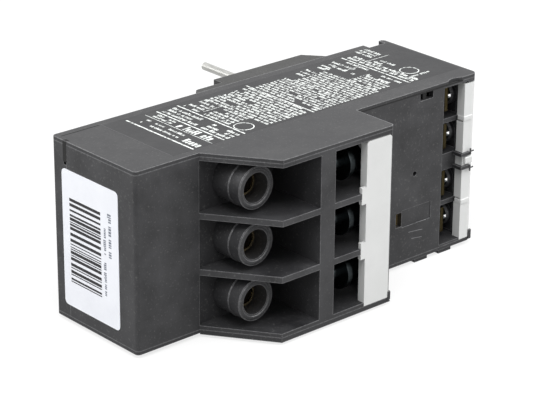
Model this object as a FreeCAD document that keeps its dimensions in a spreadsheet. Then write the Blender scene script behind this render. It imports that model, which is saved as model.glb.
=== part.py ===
import FreeCAD, Part

import os
import re

import Sketcher

# Plug-on thermal overload relay for a three-pole contactor, lying on its side, label side up.
# Frame: origin at the root of the middle contact pin, +X from the rear end to the operating
# front, +Y along the pins into the contactor, +Z from the plain side to the label side.
# In the code a station along X is given from the rear face, a station along Y from the cable
# side face of the rear block, and a station along Z from the middle of the middle pole.

doc = FreeCAD.newDocument("overload_relay")
sheet = doc.addObject("Spreadsheet::Sheet", "Sizes")
nodes = {}

# ---------------------------------------------------------------- driving dimensions

sizes = {
    # Housing
    "case_height": 30.7,          # cable side face of the rear block to the contactor side
    "wall": 1.6,
    "lid_thick": 0.9,             # label cover and plain cover
    "floor_thick": 1.0,           # the housing's own skin under each cover
    "corner": 1.0,                # radius of the vertical outside corners
    "front_corner": 1.6,          # the same at the operating front, on the cable side
    "running_gap": 0.3,           # air between parts that move past each other
    "fit_gap": 0.05,              # radial play of a shaft in its hole
    "pole_pitch": 14,
    "side_margin": 1.5,           # case width beyond the three poles, on each side
    "fin_thick": 1.5,

    # Terminal bay on the cable side, with the screw wells and the cable cells
    "bay_start": 18.4,
    "bay_reach": 15.9,            # how far it stands out of the rear block's face
    "bay_slope": 11.4,            # run of its slanted end along X
    "bay_drop": 0.3,              # its floor plate stands this much lower than the case
    "bay_back": 0.85,             # its back wall, from the rear block's face
    "well_bay_end": 41.4,
    "bar_thick": 4.5,             # wall between the well bay and the cable cells
    "cell_depth": 14.4,
    "front_block_start": 64.6,
    "front_block_depth": 41.5,    # up to the operating front
    "front_reach": 2.9,
    "well_x": 28.2,
    "well_radius": 5.2,
    "well_bore": 3.65,
    "well_mouth": 8.3,            # mouth plane, below the rear block's face

    # Front block
    "seat_rib_setback": 14.1,     # rib that backs the dial and the button springs; setbacks
                                  # are measured from the operating front
    "seat_rib_drop": 1.9,         # below the axis of the controls
    "aux_setback": 11.6,
    "aux_back": 9.0,              # depth station of the auxiliary cells
    "panel_setback": 3.1,
    "panel_thick": 1.6,
    "aux_inner": 6.3,             # centres of the auxiliary cells from the middle plane
    "aux_partition": 1.2,
    "aux_side_wall": 1.5,
    "aux_inner_half": 4.1,
    "strip_width": 4.3,
    "strip_depth": 2.4,
    "nub_drop": 1.0,

    # Openings in the front block's cable side wall
    "latch_setback": 17.75,
    "latch_window": 4.5,
    "latch_bar": 1.1,
    "latch_drop": 2.0,
    "latch_inset": 0.9,
    "slot_setback": 26.15,
    "slot_length": 2.1,
    "slot_z": -10.2,
    "slot_height": 3.8,
    "recess_length": 10.0,
    "recess_width": 4.5,
    "recess_depth": 0.15,
    "probe_setback": 21.1,
    "probe_z": 0.9,
    "probe_radius": 0.65,
    "dip_radius": 4.0,
    "dip_depth": 0.9,
    "foot_setback": 17.6,
    "foot_pitch": 8.5,
    "foot_length": 4.4,
    "foot_width": 3.0,
    "foot_inset": 0.3,
    "clip_half": 2.2,
    "clip_proud": 0.6,
    "prong_thick": 0.9,
    "prong_length": 2.2,          # over the front of the strip

    # Contactor side
    "base_seam": 25.3,
    "base_reach": 14.9,           # reaches are measured along X from the contact pins
    "block_rise": 6.2,
    "bump_length": 3.0,
    "bump_rise": 0.4,
    "bump_width": 4.5,
    "bump_z": -1.1,
    "bump_pitch": 7.4,
    "slit_width": 1.0,
    "slit_length": 4.0,
    "block_back_reach": 19.4,
    "block_reach": 9.6,
    "block_side_gap": 0.6,
    "shoulder_reach": 28.4,
    "shoulder_rise": 3.2,
    "shoulder_round": 1.5,
    "pin_setback": 32.7,
    "pin_radius": 1.05,
    "pin_root_radius": 1.4,       # the pin's thicker part inside the housing
    "pin_length": 27.0,
    "pin_bevel": 0.4,
    "notch_setback": 7.1,
    "notch_length": 5.5,
    "notch_depth": 2.3,

    # Label strips and sticker
    "load_strip_setback": 0.8,    # from the front block
    "load_strip_width": 7.9,
    "load_strip_depth": 2.1,
    "strip_low_gap": 0.1,
    "strip_high_gap": 0.2,
    "tab_reach": 1.4,             # tabs of the load strip, over the ends of the fins
    "tab_thick": 0.9,
    "sticker_thick": 0.12,
    "sticker_low": 6.3,
    "sticker_width": 20.8,
    "sticker_length": 34.3,
    "sticker_round": 1.2,
    "sticker_side": 3.9,
    "strip_round": 0.8,
    "tab_width": 4.2,
    "strip_notch_length": 0.5,
    "strip_notch_depth": 0.3,     # skin left in front of the notch
    "strip_notch_width": 1.5,

    # Current path of one pole
    "feed_bar_level": 23.6,
    "feed_bar_thick": 1.2,
    "feed_bar_width": 6.0,
    "bimetal_level": 12.8,
    "bimetal_thick": 0.9,
    "bimetal_width": 5.0,
    "bimetal_overlap": 1.6,       # of the strip's end and the trip slide
    "post_radius": 4.2,
    "well_shank": 1.95,
    "well_tail": 0.8,
    "well_head_length": 2.4,
    "heater_start": 37.0,
    "heater_length": 20.0,
    "heater_wall": 0.7,
    "heater_rib": 0.5,
    "heater_pitch": 2.5,
    "load_bar_gap": 0.6,          # from the back of the cell
    "load_bar_thick": 1.5,
    "load_bar_width": 9.0,
    "load_bar_top": 9.0,

    # Terminal screws and clamps
    "load_screw_inset": 7.5,      # axis, from the cable side face of the bay
    "load_screw_shank": 1.9,
    "load_screw_head": 3.7,
    "load_head_length": 3.6,
    "load_clamp_gap": 7.5,        # from the back of the cell
    "load_clamp_thick": 1.4,
    "load_clamp_radius": 4.6,
    "clamp_dish": 0.5,
    "clamp_rim": 0.8,
    "load_travel": 4.0,
    "load_tool_hole": 3.0,
    "aux_screw_y": 4.2,
    "aux_screw_shank": 1.45,
    "aux_screw_head": 2.7,
    "aux_head_length": 2.2,
    "aux_bar_gap": 0.5,           # from the back of the cell
    "aux_bar_thick": 1.0,
    "aux_bar_width": 5.6,
    "aux_clamp_gap": 3.9,         # from the back of the cell
    "aux_clamp_thick": 1.0,
    "aux_clamp_width": 6.6,
    "aux_clamp_height": 7.2,
    "aux_travel": 1.8,
    "aux_tool_hole": 2.3,
    "slot_width": 0.9,
    "slot_depth": 1.2,

    # Trip gear
    "trip_travel": 2.0,
    "slide_overhang": 1.5,        # of the slide past the end of the lever
    "slide_width": 2.6,
    "slide_depth": 2.5,
    "pusher_width": 1.4,
    "lever_arm": 8.5,
    "lever_thick": 1.0,
    "lever_width": 6.0,
    "axle_radius": 1.0,
    "axle_setback": 31.7,
    "axle_y": 20.4,
    "hub_radius": 2.2,
    "carrier_width": 3.0,
    "carrier_low": 11.0,
    "leg_level": 14.5,            # underside of the auxiliary bars' legs
    "leg_gap": 1.4,               # from the contact carrier
    "bridge_inset": 1.0,          # from the end of the bars' legs
    "bridge_width": 3.0,
    "bridge_thick": 1.0,
    "contact_gap": 0.05,
    "flag_drop": 5.2,             # underside, below the axis of the controls
    "flag_width": 2.6,
    "flag_depth": 2.4,

    # Operating front
    "controls_drop": 9.3,         # below the contactor side
    "dial_z": 8.6,
    "dial_radius": 5.4,
    "dial_shaft": 2.4,
    "dial_cam": 3.2,
    "dial_cam_offset": 0.7,
    "dial_cam_length": 3.0,
    "control_relief": 0.15,       # a control's back face stands this far off the panel
    "control_proud": 0.1,         # and its front this far behind the case's rim
    "reset_z": -8.6,
    "reset_width": 7.0,
    "reset_height": 6.0,
    "reset_travel": 2.0,
    "button_gap": 0.1,
    "flange_thick": 1.0,
    "flange_margin": 0.9,
    "reset_stem": 1.4,
    "test_side_gap": 5.5,         # its axis, from the plain side
    "test_radius": 1.6,
    "test_travel": 1.5,
    "test_stem": 0.8,
    "selector_side_gap": 5.3,     # its axis, from the label side
    "selector_radius": 2.5,
    "selector_shaft": 1.4,
    "spring_wire": 0.25,
    "spring_turns": 5,
}

# ---------------------------------------------------------------- derived stations

derived = {
    "case_width": "=3 * pole_pitch + 2 * side_margin",
    "case_depth": "=front_block_start + front_block_depth",
    "pin_x": "=case_depth - pin_setback",
    "rear_x": "=-pin_x",
    "face_y": "=-(case_height + block_rise)",
    "seat_rib_x": "=case_depth - seat_rib_setback",
    "aux_start": "=case_depth - aux_setback",
    "panel_back": "=case_depth - panel_setback",
    "strip_start": "=case_depth - strip_width",
    "latch_x": "=case_depth - latch_setback",
    "slot_x": "=case_depth - slot_setback",
    "probe_x": "=case_depth - probe_setback",
    "foot_x": "=case_depth - foot_setback",
    "notch_start": "=case_depth - notch_setback",
    "slide_start": "=axle_x - lever_arm - slide_overhang",
    "axle_x": "=case_depth - axle_setback",
    "carrier_x": "=axle_x + lever_arm - running_gap",
    "leg_start": "=carrier_x + carrier_width + leg_gap",
    "bridge_x": "=leg_start + bridge_inset",
    "base_end": "=pin_x + base_reach",
    "block_start": "=pin_x - block_back_reach",
    "block_end": "=pin_x + block_reach",
    "shoulder_start": "=pin_x - shoulder_reach",
    "bimetal_end": "=slide_start + bimetal_overlap",
    "aux_bar_x": "=aux_start + aux_bar_gap",
    "aux_clamp_x": "=aux_start + aux_clamp_gap",
    "controls_y": "=case_height - controls_drop",
    "flag_low": "=controls_y - flag_drop",
    "load_screw_y": "=bay_reach - load_screw_inset",
    "load_strip_start": "=front_block_start - load_strip_setback - load_strip_width",
    "seat_rib_low": "=controls_y - seat_rib_drop",
    "aux_cells_start": "=aux_inner + aux_inner_half + aux_partition",
    "aux_outer_half": "=(case_width / 2 - aux_side_wall - aux_cells_start) / 2",
    "aux_outer": "=aux_cells_start + aux_outer_half",
    "test_z": "=test_side_gap - case_width / 2",
    "selector_z": "=case_width / 2 - selector_side_gap",
    "low_z": "=-case_width / 2",
    "lid_z": "=case_width / 2 - lid_thick",
    "inner_z": "=lid_z - floor_thick",
    "cell_start": "=well_bay_end + bar_thick",
    "cell_end": "=front_block_start - wall",
    "load_bar_x": "=cell_start + load_bar_gap",
    "load_clamp_x": "=cell_start + load_clamp_gap",
    "fin_z": "=pole_pitch / 2",
    "cell_back": "=cell_depth - bay_reach",
    "cavity_low": "=bay_back + wall",
    "front_low": "=wall - front_reach",
    "inner_high": "=case_height - notch_depth - floor_thick",
    "rib_front": "=seat_rib_x + wall",
    "aux_floor": "=aux_back + wall",
    "strip_back": "=strip_depth - front_reach",
    "rim_low": "=strip_back + wall",
    "shank_hole": "=load_screw_shank + fit_gap",
    "panel_front": "=panel_back + panel_thick",
    "control_back": "=panel_front + control_relief",
    "control_front": "=case_depth - control_proud",
    "spring_back": "=rib_front + fit_gap",
    "carrier_top": "=axle_y - lever_thick / 2 - running_gap",
}

for row, (alias, cell) in enumerate([*sizes.items(), *derived.items()], 1):
    sheet.set("A%d" % row, alias)
    sheet.set("B%d" % row, str(cell))
    sheet.setAlias("B%d" % row, alias)

# ---------------------------------------------------------------- helpers

ORIGIN = {"X": "rear_x", "Y": "face_y", "Z": "0"}


def bound(formula):
    """Turns a formula of plain alias names into an expression on the sheet."""
    def name(match):
        word = match.group(0)
        return "Sizes." + word if word in sizes or word in derived else word
    return re.sub(r"[a-z_][a-z_0-9]*", name, str(formula))


def at(direction, station):
    """Expression for a station along X, Y or Z, measured as the header says."""
    return bound("%s + (%s)" % (ORIGIN[direction], station))


def bind(item, **formulas):
    for prop, formula in formulas.items():
        item.setExpression(prop, bound(formula))


def place(item, x, y, z):
    for direction, station in zip("XYZ", (x, y, z)):
        item.setExpression("Placement.Base." + direction.lower(), at(direction, station))


def block(name, x, y, z):
    """A box from three (low, high) pairs of stations."""
    item = doc.addObject("Part::Box", name)
    bind(item, Length="(%s) - (%s)" % (x[1], x[0]), Width="(%s) - (%s)" % (y[1], y[0]),
         Height="(%s) - (%s)" % (z[1], z[0]))
    place(item, x[0], y[0], z[0])
    return item


TURN = {"X": FreeCAD.Vector(1, 0, 0), "Y": FreeCAD.Vector(0, 1, 0), "Z": FreeCAD.Vector(0, 0, 1)}


def rod(name, axis, span, centre, radius):
    """A cylinder along axis over span; centre gives the stations of the other two directions."""
    item = doc.addObject("Part::Cylinder", name)
    item.Placement.Rotation = FreeCAD.Rotation(TURN["Z"], TURN[axis])
    bind(item, Radius=radius, Height="(%s) - (%s)" % (span[1], span[0]))
    stations = list(centre)
    stations.insert("XYZ".index(axis), span[0])
    place(item, *stations)
    return item


def fuse(name, items):
    item = doc.addObject("Part::MultiFuse", name)
    item.Shapes = items
    item.Refine = True
    return item


def cut(name, base, tools):
    item = doc.addObject("Part::Cut", name)
    item.Base = base
    item.Tool = tools[0] if len(tools) == 1 else fuse(name + "_tools", tools)
    item.Refine = True
    return item


def node(name, item):
    """Registers a finished piece under the name of its file."""
    item.Label = name
    nodes[name] = item
    return item


PLANES = {"Z": ("XY_Plane", "X", "Y", 1), "Y": ("XZ_Plane", "X", "Z", -1), "X": ("YZ_Plane", "Y", "Z", 1)}


def profile(name, axis, points, span):
    """A PartDesign body: a sketched outline, given as pairs of stations, padded along axis."""
    role, across, up, sense = PLANES[axis]
    body = doc.addObject("PartDesign::Body", name)
    sketch = body.newObject("Sketcher::SketchObject", name + "_sketch")
    plane = [f for f in body.Origin.OriginFeatures if f.Role == role][0]
    sketch.AttachmentSupport = [(plane, "")]
    sketch.MapMode = "FlatFace"
    start = span[0] if sense > 0 else span[1]
    offset = "%d * (%s)" % (sense, at(axis, start).replace("Sizes.", ""))
    sketch.setExpression("AttachmentOffset.Base.z", bound(offset))
    doc.recompute()
    spots = [FreeCAD.Vector(value(at(across, p[0])), value(at(up, p[1])), 0) for p in points]
    count = len(points)
    for i in range(count):
        sketch.addGeometry(Part.LineSegment(spots[i], spots[(i + 1) % count]), False)
    for i in range(count):
        sketch.addConstraint(Sketcher.Constraint("Coincident", i, 2, (i + 1) % count, 1))
    for i, (first, second) in enumerate(points):
        for kind, direction, station in (("DistanceX", across, first), ("DistanceY", up, second)):
            amount = value(at(direction, station))
            index = sketch.addConstraint(Sketcher.Constraint(kind, -1, 1, i, 1, amount))
            sketch.setExpression("Constraints[%d]" % index, at(direction, station))
    pad = body.newObject("PartDesign::Pad", name + "_pad")
    pad.Profile = sketch
    bind(pad, Length="(%s) - (%s)" % (span[1], span[0]))
    doc.recompute()
    return body


def value(expression):
    """The number that an expression on the sheet comes to now."""
    return float(sheet.evalExpression(expression.replace("Sizes.", "")))


def soften(body, axis, radius, corners):
    """Rounds a body's straight edges that run along axis at the given corners of its outline."""
    base = body.Tip
    others = [direction for direction in "XYZ" if direction != axis]
    names = []
    for number, edge in enumerate(base.Shape.Edges, 1):
        along = edge.Vertexes[-1].Point - edge.Vertexes[0].Point
        if along.Length == 0 or abs(along.normalize().dot(TURN[axis])) < 0.999:
            continue
        spot = dict(zip("XYZ", edge.Vertexes[0].Point))
        for corner in corners:
            if all(abs(spot[o] - value(at(o, station))) < 0.01 for o, station in zip(others, corner)):
                names.append("Edge%d" % number)
    fillet = body.newObject("PartDesign::Fillet", body.Name + "_round")
    fillet.Base = (base, names)
    bind(fillet, Radius=radius)
    doc.recompute()


doc.recompute()

# Spans along Z of the three pole cells and of the four auxiliary cells, and their middles.
POLES = ("-pole_pitch", "0", "pole_pitch")
POLE_CELLS = (("-inner_z", "-fin_z - fin_thick / 2"),
              ("-fin_z + fin_thick / 2", "fin_z - fin_thick / 2"),
              ("fin_z + fin_thick / 2", "inner_z"))
AUXES = (("-aux_outer", "aux_outer_half"), ("-aux_inner", "aux_inner_half"),
         ("aux_inner", "aux_inner_half"), ("aux_outer", "aux_outer_half"))


def around(middle, half):
    return "%s - (%s)" % (middle, half), "%s + %s" % (middle, half)


# Spans along Z of the load strip's tabs, over the ends of the two inner fins.
TAB_SPANS = (around("-fin_z", "tab_width / 2"), around("fin_z", "tab_width / 2"))


# ---------------------------------------------------------------- covers and housing

BAY = [("bay_start", "0"), ("bay_start + bay_slope", "-bay_reach"),
       ("front_block_start", "-bay_reach")]
CASE = [("0", "0")] + BAY + [
    ("front_block_start", "-front_reach"), ("case_depth", "-front_reach"),
    ("case_depth", "case_height"), ("notch_start + notch_length", "case_height"),
    ("notch_start + notch_length", "case_height - notch_depth"),
    ("notch_start", "case_height - notch_depth"), ("notch_start", "case_height")]
CORNERS = [("0", "0"), ("front_block_start", "-bay_reach"), ("case_depth", "case_height")]
FRONT_CORNER = [("case_depth", "-front_reach")]


def latch(name, z):
    """Snap tongue of a cover, seen in its window in the front block's cable side wall."""
    return block(name, ("latch_x - latch_bar / 2", "latch_x + latch_bar / 2"),
                 ("-front_reach + latch_inset", "-front_reach + wall - fit_gap"), z)


def label_cover():
    plate = profile("label_plate", "Z", CASE + [("0", "case_height")], ("lid_z", "-low_z"))
    soften(plate, "Z", "corner", CORNERS + [("0", "case_height")])
    soften(plate, "Z", "front_corner", FRONT_CORNER)
    tongue = latch("label_latch", ("lid_z - latch_drop", "lid_z"))
    dip = rod("label_dip", "Z", ("lid_z", "-low_z"),
              ("(aux_start + strip_start) / 2", "-front_reach - dip_radius + dip_depth"),
              "dip_radius")
    node("label_cover", cut("label_cover_cut", fuse("label_cover_body", [plate, tongue]), [dip]))


def plain_cover():
    plate = profile("plain_plate", "Z", CASE + [("0", "case_height")], ("low_z", "-lid_z"))
    soften(plate, "Z", "corner", CORNERS + [("0", "case_height")])
    soften(plate, "Z", "front_corner", FRONT_CORNER)
    sole = profile("bay_sole", "Z", BAY + [("front_block_start", "0")],
                   ("low_z - bay_drop", "low_z"))
    feet = [block("foot_%d" % i, around(middle, "foot_length / 2"),
                  ("-front_reach + foot_inset", "-front_reach + foot_inset + foot_width"),
                  ("low_z - nub_drop", "low_z"))
            for i, middle in enumerate(("foot_x", "foot_x + foot_pitch"), 1)]
    node("plain_cover", fuse("plain_cover_body", [plate, sole] + feet))


def housing():
    outline = CASE + [("base_end", "case_height"), ("base_end", "base_seam"), ("0", "base_seam")]
    shell = profile("housing_shell", "Z", outline, ("-lid_z", "lid_z"))
    soften(shell, "Z", "corner", CORNERS)
    soften(shell, "Z", "front_corner", FRONT_CORNER)
    high = ("-inner_z", "lid_z")
    hollows = [
        block("rear_cavity", ("wall", "front_block_start + wall"), ("cavity_low", "base_seam"), high),
        block("gear_cavity", ("front_block_start + wall", "base_end"),
              ("front_low", "base_seam"), high),
        block("contact_cavity", ("base_end", "seat_rib_x"),
              ("front_low", "case_height - wall"), high),
        block("leg_passage", ("seat_rib_x", "rib_front"), ("aux_floor", "seat_rib_low"), high),
        block("control_cavity", ("rib_front", "panel_back"), ("aux_floor", "inner_high"), high),
        block("panel_opening", ("panel_back", "case_depth"),
              ("rim_low", "inner_high"), ("-inner_z", "inner_z")),
        block("aux_strip_seat", ("strip_start", "case_depth"),
              ("-front_reach - 1", "strip_back"), ("-lid_z", "inner_z")),
        block("load_strip_seat", ("load_strip_start", "load_strip_start + load_strip_width"),
              ("-bay_reach - 1", "load_strip_depth - bay_reach"), ("-lid_z", "inner_z")),
        block("fin_edges", ("aux_start", "strip_start"), ("-front_reach - 1", "strip_back"),
              ("-aux_outer - aux_outer_half", "aux_outer + aux_outer_half")),
        block("tongue_recess", ("slot_x + slot_length / 2", "slot_x + slot_length / 2 + recess_length"),
              ("-front_reach - 1", "-front_reach + recess_depth"),
              around("slot_z", "recess_width / 2")),
        block("calibration_slot", around("slot_x", "slot_length / 2"),
              ("-front_reach - 1", "front_low"), around("slot_z", "slot_height / 2")),
        rod("test_hole", "Y", ("-front_reach - 1", "front_low"), ("probe_x", "probe_z"),
            "probe_radius"),
        block("label_latch_window", around("latch_x", "latch_window / 2"),
              ("-front_reach - 1", "front_low"), ("lid_z - latch_drop - fit_gap", "lid_z")),
    ]
    wells = []
    for i, (middle, cell) in enumerate(zip(POLES, POLE_CELLS), 1):
        hollows.append(block("well_bay_%d" % i, ("bay_start", "well_bay_end"),
                             ("-bay_reach - 1", "bay_back"), cell))
        hollows.append(block("cable_cell_%d" % i, ("cell_start", "cell_end"),
                             ("-bay_reach - 1", "cell_back"), cell))
        hollows.append(rod("tool_hole_%d" % i, "X", ("cell_end", "front_block_start"),
                           ("-load_screw_y", middle), "load_tool_hole"))
        hollows.append(rod("tail_hole_%d" % i, "X", ("cell_start - load_travel - running_gap",
                                                     "cell_start"),
                           ("-load_screw_y", middle), "shank_hole + fit_gap"))
        hollows.append(block("bar_slot_%d" % i, ("load_bar_x", "load_bar_x + load_bar_thick"),
                             ("cell_back", "cavity_low"), around(middle, "load_bar_width / 2")))
        wells.append(rod("well_%d" % i, "Y", ("-well_mouth", "bay_back"), ("well_x", middle),
                         "well_radius"))
        wells.append(rod("screw_post_%d" % i, "Y", ("cavity_low", "bimetal_level"),
                         ("well_x", middle), "post_radius"))
    for i, (middle, half) in enumerate(AUXES, 1):
        cell = around(middle, half)
        hollows.append(block("aux_cell_%d" % i, ("aux_start", "panel_back"),
                             ("-front_reach - 1", "aux_back"), cell))
        hollows.append(block("aux_slot_%d" % i, ("aux_bar_x", "aux_bar_x + aux_bar_thick"),
                             ("aux_back", "aux_floor"), around(middle, "aux_bar_width / 2")))
        hollows.append(rod("aux_tail_hole_%d" % i, "X",
                           ("aux_bar_x - aux_travel - running_gap * 2", "aux_start"),
                           ("aux_screw_y", middle), "aux_screw_shank + fit_gap * 2"))
    for i, span in enumerate(TAB_SPANS, 1):
        hollows.append(block("tab_seat_%d" % i, ("load_strip_start - tab_reach", "load_strip_start"),
                             ("-bay_reach - 1", "tab_thick - bay_reach"), span))
    clip = []
    for i, side in enumerate(("-clip_half", "clip_half - prong_thick"), 1):
        span = (side, side + " + prong_thick")
        clip.append(block("clip_stem_%d" % i,
                          ("strip_start - fit_gap - prong_thick", "strip_start - fit_gap"),
                          ("-front_reach - clip_proud", "0"), span))
        clip.append(block("clip_prong_%d" % i,
                          ("strip_start - fit_gap - prong_thick", "strip_start + prong_length"),
                          ("-front_reach - clip_proud", "-front_reach - fit_gap"), span))
    bores = []
    for i, middle in enumerate(POLES, 1):
        bores.append(rod("well_bore_%d" % i, "Y", ("-well_mouth", "bay_back"),
                         ("well_x", middle), "well_bore"))
        bores.append(rod("post_bore_%d" % i, "Y", ("bay_back", "bimetal_level"),
                         ("well_x", middle), "well_shank + fit_gap"))
    hollow = cut("housing_hollow", shell, hollows)
    solid = fuse("housing_solid", [hollow] + wells + clip)
    node("housing", cut("housing_bored", solid, bores))


def base_cover():
    slab = profile("base_slab", "Z", [("0", "base_seam"), ("base_end", "base_seam"),
                                      ("base_end", "case_height"), ("0", "case_height")],
                   ("-lid_z", "lid_z"))
    soften(slab, "Z", "corner", [("0", "case_height")])
    bumps = [block("bump_%d" % i, ("corner", "corner + bump_length"),
                   ("case_height", "case_height + bump_rise"), span)
             for i, span in enumerate((("bump_z", "bump_z + bump_width"),
                                       ("bump_z - bump_pitch", "bump_z - bump_pitch + bump_width")), 1)]
    tools = [block("base_hollow", ("wall", "base_end - wall"),
                   ("base_seam", "case_height - wall"), ("-inner_z", "inner_z"))]
    tools += [rod("base_pin_hole_%d" % i, "Y", ("base_seam", "case_height"), ("pin_x", middle),
                  "pin_root_radius + fit_gap") for i, middle in enumerate(POLES, 1)]
    tools.append(block("seam_slit", ("0", "floor_thick"), ("base_seam", "base_seam + slit_width"),
                       ("inner_z - slit_length", "inner_z")))
    node("base_cover", cut("base_cover_cut", fuse("base_cover_body", [slab] + bumps), tools))


def pin_block():
    body = profile("pin_block_body", "Z", [
        ("shoulder_start", "case_height"), ("base_end", "case_height"),
        ("block_end", "case_height + block_rise"), ("block_start", "case_height + block_rise"),
        ("block_start", "case_height + shoulder_rise"),
        ("shoulder_start", "case_height + shoulder_rise")],
        ("low_z + block_side_gap", "-low_z - block_side_gap"))
    soften(body, "Z", "shoulder_round", [("shoulder_start", "case_height + shoulder_rise")])
    tools = [rod("block_pin_hole_%d" % i, "Y", ("case_height", "case_height + block_rise"),
                 ("pin_x", middle), "pin_root_radius + fit_gap") for i, middle in enumerate(POLES, 1)]
    node("pin_block", cut("pin_block_cut", body, tools))


def front_panel():
    plate = block("panel_plate", ("panel_back", "panel_front"), ("rim_low", "inner_high"),
                  ("-inner_z", "inner_z"))
    through = ("panel_back", "panel_front")
    tools = [rod("panel_aux_hole_%d" % i, "X", through, ("aux_screw_y", middle), "aux_tool_hole")
             for i, (middle, half) in enumerate(AUXES, 1)]
    tools += [
        rod("panel_dial_hole", "X", through, ("controls_y", "dial_z"), "dial_shaft + fit_gap"),
        rod("panel_selector_hole", "X", through, ("controls_y", "selector_z"),
            "selector_shaft + fit_gap"),
        rod("panel_test_hole", "X", through, ("controls_y", "test_z"), "test_radius + button_gap"),
        block("panel_reset_hole", through,
              around("controls_y", "reset_height / 2 + button_gap"),
              around("reset_z", "reset_width / 2 + button_gap")),
        block("panel_flag_window", through, ("flag_low - trip_travel", "flag_low + flag_depth"),
              around("0", "flag_width / 2"))]
    node("front_panel", cut("front_panel_cut", plate, tools))


# ---------------------------------------------------------------- label strips and sticker

def load_marker_strip():
    low, high = "strip_low_gap - lid_z", "inner_z - strip_high_gap"
    end = "load_strip_start + load_strip_width"
    bar = profile("load_strip_body", "Y", [
        ("load_strip_start", low), (end, low), (end, high), ("load_strip_start", high)],
        ("-bay_reach", "load_strip_depth - bay_reach"))
    soften(bar, "Y", "strip_round", [("load_strip_start", high), (end, high)])
    tabs = [block("load_strip_tab_%d" % i, ("load_strip_start - tab_reach", "load_strip_start"),
                  ("-bay_reach", "tab_thick - bay_reach"), span)
            for i, span in enumerate(TAB_SPANS, 1)]
    node("load_marker_strip", fuse("load_strip_fused", [bar] + tabs))


def aux_marker_strip():
    bar = profile("aux_strip_body", "Z", [
        ("strip_start", "-front_reach"), ("case_depth", "-front_reach"),
        ("case_depth", "strip_back"), ("strip_start", "strip_back")],
        ("strip_low_gap - lid_z", "inner_z - strip_high_gap"))
    soften(bar, "Z", "front_corner", FRONT_CORNER)
    tools = [block("aux_strip_notch_%d" % i, ("strip_start", "strip_start + strip_notch_length"),
                   ("-front_reach + strip_notch_depth", "strip_back"),
                   around(side + "(aux_cells_start - aux_partition / 2)", "strip_notch_width / 2"))
             for i, side in enumerate(("-", "+"), 1)]
    node("aux_marker_strip", cut("aux_strip_cut", bar, tools))


def rear_sticker():
    low_y, high_y = "sticker_low", "sticker_low + sticker_width"
    low, high = "low_z + sticker_side", "low_z + sticker_side + sticker_length"
    corners = [(low_y, low), (high_y, low), (high_y, high), (low_y, high)]
    paper = profile("sticker_body", "X", corners, ("-sticker_thick", "0"))
    soften(paper, "X", "sticker_round", corners)
    node("rear_sticker", paper)


# ---------------------------------------------------------------- current path of each pole

def current_path(i, middle):
    top = "feed_bar_level + feed_bar_thick"
    foot_low = "bimetal_level + bimetal_thick"
    foot_high = foot_low + " + feed_bar_thick"
    start = "well_x - post_radius"
    feed = profile("feed_strip_%d" % i, "Z", [
        (start, foot_low), ("well_x + post_radius", foot_low), ("well_x + post_radius", foot_high),
        (start + " + feed_bar_thick", foot_high), (start + " + feed_bar_thick", "feed_bar_level"),
        ("pin_x + feed_bar_width / 2", "feed_bar_level"), ("pin_x + feed_bar_width / 2", top),
        (start, top)], around(middle, "feed_bar_width / 2"))
    hole = rod("feed_hole_%d" % i, "Y", (foot_low, foot_high), ("well_x", middle),
               "well_shank + fit_gap")
    node("feed_bar_%d" % i, cut("feed_bar_cut_%d" % i, feed, [hole]))

    root = "case_height + block_rise"
    shoulder = rod("pin_root_%d" % i, "Y", (top, root), ("pin_x", middle), "pin_root_radius")
    pin = rod("pin_shaft_%d" % i, "Y", (root, root + " + pin_length - pin_bevel"),
              ("pin_x", middle), "pin_radius")
    tip = doc.addObject("Part::Cone", "pin_tip_%d" % i)
    tip.Placement.Rotation = FreeCAD.Rotation(TURN["Z"], TURN["Y"])
    bind(tip, Radius1="pin_radius", Radius2="pin_radius - pin_bevel", Height="pin_bevel")
    place(tip, "pin_x", root + " + pin_length - pin_bevel", middle)
    node("contact_pin_%d" % i, fuse("contact_pin_body_%d" % i, [shoulder, pin, tip]))

    strip = block("bimetal_strip_body_%d" % i, (start, "bimetal_end"),
                  ("bimetal_level", foot_low), around(middle, "bimetal_width / 2"))
    hole = rod("bimetal_hole_%d" % i, "Y", ("bimetal_level", foot_low), ("well_x", middle),
               "well_shank + fit_gap")
    node("bimetal_strip_%d" % i, cut("bimetal_cut_%d" % i, strip, [hole]))

    def sleeve(name, x, margin):
        return block(name, x, ("bimetal_level - (%s)" % margin, foot_low + " + " + margin),
                     around(middle, "bimetal_width / 2 + " + margin))
    span = ("heater_start", "heater_start + heater_length")
    tube = sleeve("heater_tube_%d" % i, span, "running_gap + heater_wall")
    turns = [tube]
    for turn in range(8):
        low = "heater_start + %d * heater_pitch" % turn
        turns.append(sleeve("heater_turn_%d_%d" % (i, turn), (low, low + " + heater_pitch / 2"),
                            "running_gap + heater_wall + heater_rib"))
    core = sleeve("heater_core_%d" % i, span, "running_gap")
    node("heater_%d" % i, cut("heater_cut_%d" % i, fuse("heater_wound_%d" % i, turns), [core]))

    plate = block("load_bar_body_%d" % i, ("load_bar_x", "load_bar_x + load_bar_thick"),
                  ("-load_screw_y - load_bar_width / 2", "load_bar_top"),
                  around(middle, "load_bar_width / 2"))
    hole = rod("load_bar_hole_%d" % i, "X", ("load_bar_x", "load_bar_x + load_bar_thick"),
               ("-load_screw_y", middle), "shank_hole")
    node("load_bar_%d" % i, cut("load_bar_cut_%d" % i, plate, [hole]))


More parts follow.
